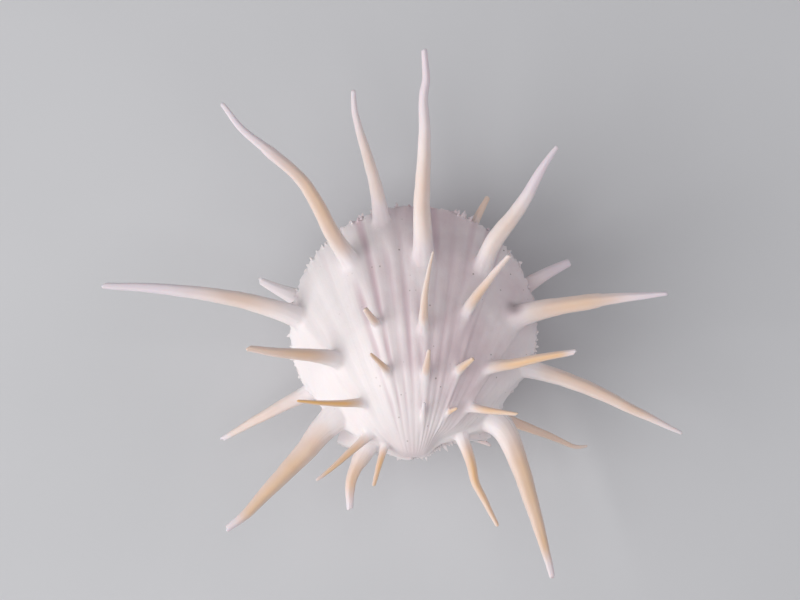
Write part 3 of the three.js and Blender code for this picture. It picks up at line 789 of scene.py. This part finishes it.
def colour_spine(vert, looks, spine, line, s, angle, bearing):
    """Spines take the skin's tone at the root, have a warm band along the back, and some a pale tip.

    The band's paler sides are painted highlight, most on the left, where the light falls.
    """
    share = s / line.length
    out = (s - line.root_at) / line.root_thick
    warm_by = min(WARM_BY, 0.6 * (line.length - line.root_at) / line.root_thick)
    leaves = smoothstep(out, -0.1, warm_by)
    _, aside, _ = line.at(s)
    # The warm band leans to the right, and the paler sides beside it, most on the left where the light falls, are
    # painted highlight.
    band = math.radians(90 - BAND_LEAN_FROM_LIGHT * clamp(aside.x * 3, -1, 1))
    back = mix(PAINTED_HIGHLIGHT_SIDE_WARMTH, 1.0, math.exp(-(angle_off(angle, band) / BAND_BREADTH) ** 2))
    pale = spine["pale_tip"] * smoothstep(share, spine["pale_from"], min(spine["pale_from"] + 0.4, 0.98))
    vert[looks["warmth"]] = spine["warm"] * leaves * back * (1 - pale)
    vert[looks["tip"]] = pale
    vert[looks["rib"]] = mix(vert[looks["rib"]], 1.0, smoothstep(out, 0.2, 2.2))
    vert[looks["bearing"]] = bearing + STREAK_TURN * math.cos(angle)
    vert[looks["inside"]] = 0.0


def grow_spines(mesh, looks, valve):
    """Chooses every spine's root patch on the whole skin, then draws the spines out one by one."""
    build = {name: mesh.verts.layers.float.new(name) for name in BUILD_MARKS}
    mesh.verts.index_update()
    mesh.faces.index_update()
    skin = []
    for face in mesh.faces:
        outermost = max(vert[looks["grown"]] for vert in face.verts)
        if all(vert[looks["inside"]] == 0 for vert in face.verts) and outermost < AT_MARGIN:
            skin.append((face, face.calc_center_median(), outermost))
    taken = set()
    planned = []
    for number, spine in enumerate(valve.spines):
        line = SpineLine(valve, spine, number)
        patch = root_faces(skin, line, taken)
        taken |= patch
        taken |= {other for face in patch for vert in face.verts for other in vert.link_faces}
        planned.append((spine, line, patch))
    for spine, line, patch in planned:
        grow_spine(mesh, looks, build, spine, line, patch)
    near_root = [vert for vert in mesh.verts if vert[build["near_root"]] > 0]
    for _ in range(ROOT_SMOOTHING):
        bmesh.ops.smooth_vert(mesh, verts=near_root, factor=0.5,
                              use_axis_x=True, use_axis_y=True, use_axis_z=True)
    for vert in mesh.verts:
        if vert[looks["inside"]] == 0:
            vert.co = keep_side(valve, vert.co)
    for name in BUILD_MARKS:
        mesh.verts.layers.float.remove(mesh.verts.layers.float[name])


# Larger thorns on the hinge edge: where each stands, seen from above, which way it leans, how long it is, and
# how stout as a share of a small thorn.
HINGE_THORNS = (
    ((-11.2, -30.6), (-0.3, -0.9), 1.0, 1.2),
    ((-9.4, -31.2), (-0.6, -0.9), 2.6, 1.5),
    ((-7.6, -31.6), (-0.2, -1.0), 0.9, 1.2),
    ((-6.2, -32.2), (-0.4, -0.9), 1.5, 1.4),
    ((6.0, -32.4), (0.4, -0.9), 0.8, 1.2),
    ((7.8, -31.0), (0.2, -1.0), 1.1, 1.3),
    ((9.4, -30.2), (0.55, -0.8), 3.0, 1.9),
    ((11.8, -29.6), (0.4, -0.9), 1.3, 1.4),
    ((13.4, -29.4), (0.3, -1.0), 0.9, 1.2),
)

# The edge that can carry thorns: the growth at which it begins and the bearing at which it ends. The ears and
# the hinge begin at bearings too, and the hinge is also only so broad.
EDGE_FROM = 0.99
EDGE_ENDS = 88
EAR_FROM = 58
HINGE_FROM = 79.5
HINGE_HALF = 14.5

# Small thorns stand close on the hinge, thinly along the front and in one cluster there, and not on the ears.
# Each is drawn out in steps: how far along its length, and how broad as a share of its foot.
HINGE_CHANCE = 0.75
FRONT_CHANCE = 0.06
FRONT_EXTRA = 0.08
CLUSTER_BEARING = 12.5
CLUSTER_SPREAD = 2.2
CLUSTER_CHANCE = 0.5
PRICKLE_STEPS = ((0.1, 1.1), (0.55, 0.72), (1.0, 0.16))


def raise_prickles(mesh, prickles):
    """Small thorns, each drawn in steps from one face of the skin along its lean."""
    mark = mesh.faces.layers.int["prickle"]
    faces = []
    for number, (face, *_) in enumerate(prickles, 1):
        face[mark] = number
        faces.append(face)
    bases = [face.calc_center_median() for face in faces]
    girth_before = 1.0
    for reach, girth in PRICKLE_STEPS:
        faces = bmesh.ops.extrude_discrete_faces(mesh, faces=faces)["faces"]
        for face in faces:
            number = face[mark] - 1
            _, lean, length, stout = prickles[number]
            centre = face.calc_center_median()
            onward = bases[number] + lean * length * reach
            wider = girth / girth_before * (stout if girth_before == 1.0 else 1.0)
            for vert in face.verts:
                vert.co = onward + (vert.co - centre) * wider
        girth_before = girth
    mesh.faces.layers.int.remove(mesh.faces.layers.int["prickle"])


def edge_faces(mesh, looks):
    """The faces along the margin and the hinge edge, each with its bearing."""
    found = []
    for face in mesh.faces:
        if len(face.verts) != 4:
            continue
        if any(vert[looks["inside"]] > 0 or vert[looks["tip"]] > 0 for vert in face.verts):
            continue
        bearing = sum(vert[looks["bearing"]] for vert in face.verts) / 4
        if min(vert[looks["grown"]] for vert in face.verts) >= EDGE_FROM and abs(bearing) <= EDGE_ENDS:
            found.append((face, bearing))
    return found


def edge_prickles(mesh, looks, valve, seed):
    """Chooses where the margin and the hinge carry small thorns, and how they lean."""
    dice = random.Random(seed)
    edge = edge_faces(mesh, looks)
    chosen = []
    for (x, y), (across, along), length, stout in HINGE_THORNS if valve.side > 0 else ():
        spot = Vector((x, y))
        face, _ = min(edge, key=lambda place: (place[0].calc_center_median().xy - spot).length)
        chosen.append((face, Vector((across, along, 0.1)).normalized(), length, stout))
    thorny = {face for face, *_ in chosen}
    for face, bearing in edge:
        if face in thorny:
            continue
        centre = face.calc_center_median()
        hinge = abs(bearing) > HINGE_FROM and abs(centre.x) < HINGE_HALF
        ear = abs(bearing) > EAR_FROM and not hinge
        cluster = math.exp(-((bearing - CLUSTER_BEARING) / CLUSTER_SPREAD) ** 2)
        front = FRONT_CHANCE + FRONT_EXTRA * smoothstep(bearing, -30, -5)
        chance = HINGE_CHANCE if hinge else 0.0 if ear else front + CLUSTER_CHANCE * cluster
        if dice.random() > chance:
            continue
        outward = Vector((centre.x - HEART.x, centre.y - HEART.y, 0)).normalized()
        if hinge:
            outward = Vector((math.copysign(0.45, bearing), -1, 0)).normalized()
        across, along = dice.uniform(-0.35, 0.35), dice.uniform(-0.35, 0.35)
        sway = Vector((across, along, valve.side * dice.uniform(0.0, 0.2)))
        length = dice.uniform(0.45, 1.0) + dice.random() ** 4 * 0.8 + 0.9 * cluster
        stout = dice.uniform(1.1, 1.7) if hinge else dice.uniform(0.9, 1.3)
        chosen.append((face, (outward + sway).normalized(), length, stout))
    return chosen


def shell_object(name, mesh, finish):
    """Brings a modelled piece to metres and gives it its finish."""
    bmesh.ops.scale(mesh, verts=mesh.verts, vec=(MM, MM, MM))
    for face in mesh.faces:
        face.smooth = True
    data = bpy.data.meshes.new(name)
    mesh.to_mesh(data)
    mesh.free()
    data.materials.append(finish)
    made = bpy.data.objects.new(name, data)
    bpy.context.scene.collection.objects.link(made)
    return made


def make_valve(name, valve, finish, seed):
    mesh, looks = press_valve(valve)
    grow_spines(mesh, looks, valve)
    raise_prickles(mesh, edge_prickles(mesh, looks, valve, seed))
    for edge in mesh.edges:
        inside = [vert[looks["inside"]] for vert in edge.verts]
        grown = [vert[looks["grown"]] for vert in edge.verts]
        if inside == [0, 0] and min(grown) > AT_MARGIN:
            edge.smooth = False
    return shell_object(name, mesh, finish)


# Finishes.

def paint(red, green, blue):
    """A colour as it is seen, 0 to 255, made ready for a shader."""
    def light(value):
        share = value / 255
        return share / 12.92 if share <= 0.04045 else ((share + 0.055) / 1.055) ** 2.4
    return (light(red), light(green), light(blue), 1.0)


class Finish:
    """A material and short ways to add nodes to it."""

    def __init__(self, name):
        self.material = bpy.data.materials.new(name)
        self.material.use_nodes = True
        self.nodes = self.material.node_tree.nodes
        self.shader = self.nodes["Principled BSDF"]

    def link(self, source, socket):
        self.material.node_tree.links.new(source, socket)

    def put(self, socket, value):
        if isinstance(value, bpy.types.NodeSocket):
            self.link(value, socket)
        else:
            socket.default_value = value

    def look(self, name):
        node = self.nodes.new("ShaderNodeAttribute")
        node.attribute_name = name
        return node.outputs["Fac"]

    def place(self):
        return self.nodes.new("ShaderNodeTexCoord").outputs["Object"]

    def math(self, operation, a, b=0.0, c=0.0):
        node = self.nodes.new("ShaderNodeMath")
        node.operation = operation
        for socket, value in zip(node.inputs, (a, b, c)):
            self.put(socket, value)
        return node.outputs[0]

    def between(self, value, low, high, out_low=0.0, out_high=1.0):
        node = self.nodes.new("ShaderNodeMapRange")
        node.interpolation_type = "SMOOTHSTEP"
        for socket, given in zip(node.inputs, (value, low, high, out_low, out_high)):
            self.put(socket, given)
        return node.outputs[0]

    def vector(self, x, y, z):
        node = self.nodes.new("ShaderNodeCombineXYZ")
        for socket, value in zip(node.inputs, (x, y, z)):
            self.put(socket, value)
        return node.outputs[0]

    def noise(self, vector, scale, detail=3.0, roughness=0.55):
        node = self.nodes.new("ShaderNodeTexNoise")
        self.link(vector, node.inputs["Vector"])
        node.inputs["Scale"].default_value = scale
        node.inputs["Detail"].default_value = detail
        node.inputs["Roughness"].default_value = roughness
        return node.outputs["Fac"]

    def spots(self, vector, scale):
        node = self.nodes.new("ShaderNodeTexVoronoi")
        self.link(vector, node.inputs["Vector"])
        node.inputs["Scale"].default_value = scale
        return node.outputs["Distance"], node.outputs["Color"]

    def distance(self, vector, x, y):
        """How far a place is from a point of the plan."""
        flat = self.nodes.new("ShaderNodeVectorMath")
        flat.operation = "MULTIPLY"
        flat.inputs[1].default_value = (1, 1, 0)
        self.link(vector, flat.inputs[0])
        away = self.nodes.new("ShaderNodeVectorMath")
        away.operation = "DISTANCE"
        away.inputs[1].default_value = (x, y, 0)
        self.link(flat.outputs[0], away.inputs[0])
        return away.outputs["Value"]

    def blend(self, share, a, b):
        node = self.nodes.new("ShaderNodeMix")
        node.data_type = "RGBA"
        self.put(node.inputs[0], share)
        self.put(node.inputs[6], a)
        self.put(node.inputs[7], b)
        return node.outputs[2]

    def ramp(self, share, *stops):
        node = self.nodes.new("ShaderNodeValToRGB")
        points = node.color_ramp.elements
        while len(points) < len(stops):
            points.new(0.5)
        for point, (place, colour) in zip(points, stops):
            point.position = place
            point.color = colour
        self.link(share, node.inputs[0])
        return node.outputs[0]

    def bump(self, *layers):
        normal = None
        for height, depth in layers:
            node = self.nodes.new("ShaderNodeBump")
            node.inputs["Distance"].default_value = depth
            node.inputs["Strength"].default_value = 1.0
            self.link(height, node.inputs["Height"])
            if normal:
                self.link(normal, node.inputs["Normal"])
            normal = node.outputs[0]
        self.link(normal, self.shader.inputs["Normal"])


CREST_WHITE = paint(246, 238, 239)
FURROW_MAUVE = paint(217, 194, 201)
BEAK_PINK = paint(238, 220, 222)
SPINE_PEACH = paint(234, 211, 198)
SPINE_BEIGE = paint(233, 200, 170)
SPINE_ORANGE = paint(244, 192, 122)
TIP_LILAC = paint(232, 221, 230)
SPECK_BROWN = paint(120, 100, 92)
SMUDGE_GREY = paint(120, 112, 116)
SMUDGE_PLACE = (30.6 * MM, 11.5 * MM)
SMUDGE_RADIUS = 3.6 * MM


def shell_finish(name, crest, furrow, smudge):
    """White shell: mauve furrows, a pink beak, fine lengthwise streaks, brown specks and warm spines."""
    finish = Finish(name)
    place = finish.place()
    grown = finish.look("grown")
    bearing = finish.look("bearing")
    rib = finish.look("rib")
    warmth = finish.look("warmth")
    tip = finish.look("tip")

    # Fine streaks from beak to margin, fainter near the beak, tint the crests and furrows.
    across, along = finish.math("MULTIPLY", bearing, 0.55), finish.math("MULTIPLY", grown, 3.0)
    streak_way = finish.vector(across, along, 0.0)
    streaks = finish.math("SUBTRACT", finish.noise(streak_way, 1.1, 3.0, 0.5), 0.5)
    streaks = finish.math("MULTIPLY", streaks, finish.between(grown, 0.08, 0.5, 0.25, 1.0))
    height = finish.math("MULTIPLY_ADD", streaks, 0.6, rib)
    skin = finish.ramp(height, (0.0, furrow), (0.75, crest))

    # A patchy mauve stain over the middle and the right of the dome spares the ridges. Over the right it is also
    #     # painted shade, where the dome turns away from the light. The beak is pink.
    stain_and_painted_shade = finish.math("MULTIPLY", finish.between(bearing, -24.0, 4.0), finish.between(bearing, 56.0, 34.0))
    stain_and_painted_shade = finish.math("MULTIPLY", stain_and_painted_shade, finish.between(grown, 0.12, 0.5))
    patchy = finish.between(finish.noise(place, 55.0, 4.0), 0.25, 0.7, 0.15, 0.75)
    stain_and_painted_shade = finish.math("MULTIPLY", stain_and_painted_shade, patchy)
    stain_and_painted_shade = finish.math("MULTIPLY", stain_and_painted_shade, finish.between(rib, 1.0, RIDGE_CREST, 1.0, 0.3))
    skin = finish.blend(stain_and_painted_shade, skin, furrow)
    pink = finish.between(grown, 0.34, 0.02, 0.0, 0.7)
    skin = finish.blend(pink, skin, BEAK_PINK)

    # Spines, unevenly warm, with painted highlight on their paler sides, and pale at some tips.
    cloud = finish.noise(place, 95.0, 3.0)
    warm = finish.math("MULTIPLY_ADD", finish.math("SUBTRACT", cloud, 0.5), 0.25, warmth)
    spine_tone = finish.ramp(warm, (0.0, crest), (0.3, SPINE_PEACH), (0.6, SPINE_BEIGE), (0.95, SPINE_ORANGE))
    skin = finish.blend(finish.between(warmth, 0.01, 0.12), skin, spine_tone)
    skin = finish.blend(finish.math("MULTIPLY", tip, 0.8), skin, TIP_LILAC)

    # Brown specks of many sizes, fewer on the left and none on the spines, and a grey smudge where one is wanted.
    distance, pick = finish.spots(place, 420.0)
    size = finish.between(pick, 0.52, 0.85, 0.0, 0.17)
    speck = finish.between(distance, size, finish.math("MULTIPLY", size, 0.4), 0.0, 0.65)
    speck = finish.math("MULTIPLY", speck, finish.between(bearing, -30.0, 6.0, 0.15, 1.0))
    speck = finish.math("MULTIPLY", speck, finish.between(finish.math("ADD", warmth, tip), 0.1, 0.01))
    skin = finish.blend(speck, skin, SPECK_BROWN)
    if smudge:
        dark = finish.between(finish.distance(place, *smudge), SMUDGE_RADIUS, 0.2 * MM, 0.0, 0.6)
        dark = finish.math("MULTIPLY", dark, finish.between(cloud, 0.3, 0.65))
        skin = finish.blend(dark, skin, SMUDGE_GREY)
    finish.link(skin, finish.shader.inputs["Base Color"])

    # A dull surface with a little depth and a fine grain.
    grain = finish.noise(place, 1500.0, 3.0)
    rough = finish.between(finish.noise(place, 240.0, 2.0), 0.3, 0.7, 0.42, 0.58)
    finish.link(rough, finish.shader.inputs["Roughness"])
    finish.shader.inputs["Subsurface Weight"].default_value = 0.25
    finish.shader.inputs["Subsurface Radius"].default_value = (1.0, 0.7, 0.55)
    finish.shader.inputs["Subsurface Scale"].default_value = 1.6 * MM
    finish.shader.inputs["Sheen Weight"].default_value = 0.12
    finish.shader.inputs["Sheen Roughness"].default_value = 0.35
    finish.bump((streaks, 0.08 * MM), (grain, 0.03 * MM))
    return finish.material


def floor_finish():
    """A pale, even studio floor with a faint tooth."""
    finish = Finish("pale_floor")
    place = finish.place()
    tone = finish.noise(place, 9.0, 2.0)
    finish.link(finish.ramp(tone, (0.3, paint(205, 206, 209)), (0.7, paint(210, 211, 214))),
                finish.shader.inputs["Base Color"])
    finish.shader.inputs["Roughness"].default_value = 0.8
    finish.bump((finish.noise(place, 700.0, 2.0), 0.02 * MM))
    return finish.material


# The shell's two valves.
UPPER = Valve(side=1, fullness=0.92, fine_between=3, spines=UPPER_SPINES,
              columns=380, rows=119, inner_rows=11)
LOWER = Valve(side=-1, fullness=1.05, fine_between=2, spines=LOWER_SPINES,
              columns=300, rows=84, inner_rows=10)

upper_finish = shell_finish("upper_shell_white", CREST_WHITE, FURROW_MAUVE, SMUDGE_PLACE)
upper_shell = make_valve("upper_shell", UPPER, upper_finish, seed=7)
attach(upper_shell, "root")
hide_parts("upper_valve")

lower_finish = shell_finish("lower_shell_white", CREST_WHITE, FURROW_MAUVE, None)
lower_shell = make_valve("lower_shell", LOWER, lower_finish, seed=19)
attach(lower_shell, "root")
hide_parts("lower_valve")

# The floor that the shell lies on.
FLOOR_SIZE = 6.0
floor_mesh = bmesh.new()
bmesh.ops.create_grid(floor_mesh, x_segments=2, y_segments=2, size=FLOOR_SIZE)
floor_data = bpy.data.meshes.new("floor")
floor_mesh.to_mesh(floor_data)
floor_mesh.free()
floor_data.materials.append(floor_finish())
floor = bpy.data.objects.new("floor", floor_data)
bpy.context.scene.collection.objects.link(floor)


def soft_light(name, place, aim, size, power, colour):
    """A square of soft light that faces a point."""
    lamp = bpy.data.lights.new(name, "AREA")
    lamp.shape = "SQUARE"
    lamp.size = size
    lamp.energy = power
    lamp.color = colour
    made = bpy.data.objects.new(name, lamp)
    made.location = place
    made.rotation_mode = "QUATERNION"
    made.rotation_quaternion = (Vector(aim) - Vector(place)).to_track_quat("-Z", "Y")
    made.visible_camera = False
    bpy.context.scene.collection.objects.link(made)
    return made


SHELL_MIDDLE = (0, 0, 0.03)
soft_light("left_window", (-0.92, -0.30, 0.68), SHELL_MIDDLE, 0.9, 9.5, (1.0, 0.99, 0.98))
soft_light("overhead_sheet", (0.0, 0.0, 1.5), SHELL_MIDDLE, 1.3, 5.4, (1.0, 0.985, 0.99))
soft_light("beak_fill", (-0.3, -0.95, 0.45), SHELL_MIDDLE, 0.7, 0.9, (1.0, 0.99, 0.98))
soft_light("right_fill", (0.95, 0.1, 0.42), SHELL_MIDDLE, 0.8, 1.5, (0.98, 0.95, 1.0))

world = bpy.data.worlds.new("studio")
world.use_nodes = True
world.node_tree.nodes["Background"].inputs["Color"].default_value = (0.86, 0.86, 0.88, 1)
world.node_tree.nodes["Background"].inputs["Strength"].default_value = 0.26
bpy.context.scene.world = world
bpy.context.scene.view_settings.view_transform = "Standard"

# The camera looks straight down on the upper valve, with the beak towards the bottom of the picture.
VIEW_MIDDLE = Vector((-3.6, 13.5, SEAM_Z)) * MM
VIEW_WIDTH = 0.240
VIEW_DISTANCE = 4.0
SENSOR = 36.0
camera_data = bpy.data.cameras.new("camera")
camera_data.sensor_width = SENSOR
camera_data.lens = SENSOR * VIEW_DISTANCE / VIEW_WIDTH
camera = bpy.data.objects.new("camera", camera_data)
camera.location = VIEW_MIDDLE + Vector((0, 0, VIEW_DISTANCE))
bpy.context.scene.collection.objects.link(camera)
bpy.context.scene.camera = camera
